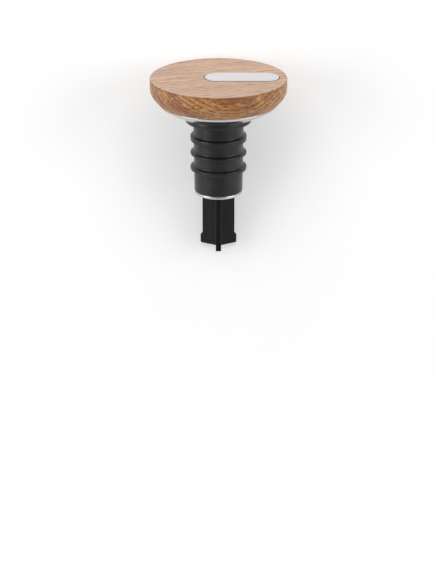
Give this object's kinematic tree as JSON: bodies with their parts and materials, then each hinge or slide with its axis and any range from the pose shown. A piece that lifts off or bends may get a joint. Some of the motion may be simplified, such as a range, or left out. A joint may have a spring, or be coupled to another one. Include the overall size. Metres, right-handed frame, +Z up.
{
  "type": "bottle stopper",
  "caption": "Oak-headed bottle stopper with a steel dish, a lipped silicone seal and a finned plastic stem.",
  "frame": {"origin": "middle of the stopper's box, on the surface that it lies on", "axes": "+Y along the way the stopper lies, towards the head; +Z up; the inlay plate is to +X"},
  "size_m": [0.048, 0.0688, 0.0467],
  "materials": {
    "oak": "lightly oiled, fine sanded",
    "inlay_steel": "brushed along its length",
    "dish_steel": "satin polished",
    "ring_steel": "polished",
    "black_silicone": "smooth, soft sheen",
    "black_plastic": "moulded, satin"
  },
  "bodies": {
    "root": {"oak_head": "oak", "inlay_plate": "inlay_steel", "steel_dish": "dish_steel", "silicone_seal": "black_silicone", "retaining_ring": "ring_steel", "plastic_core": "black_plastic"}
  },
  "joints": []
}
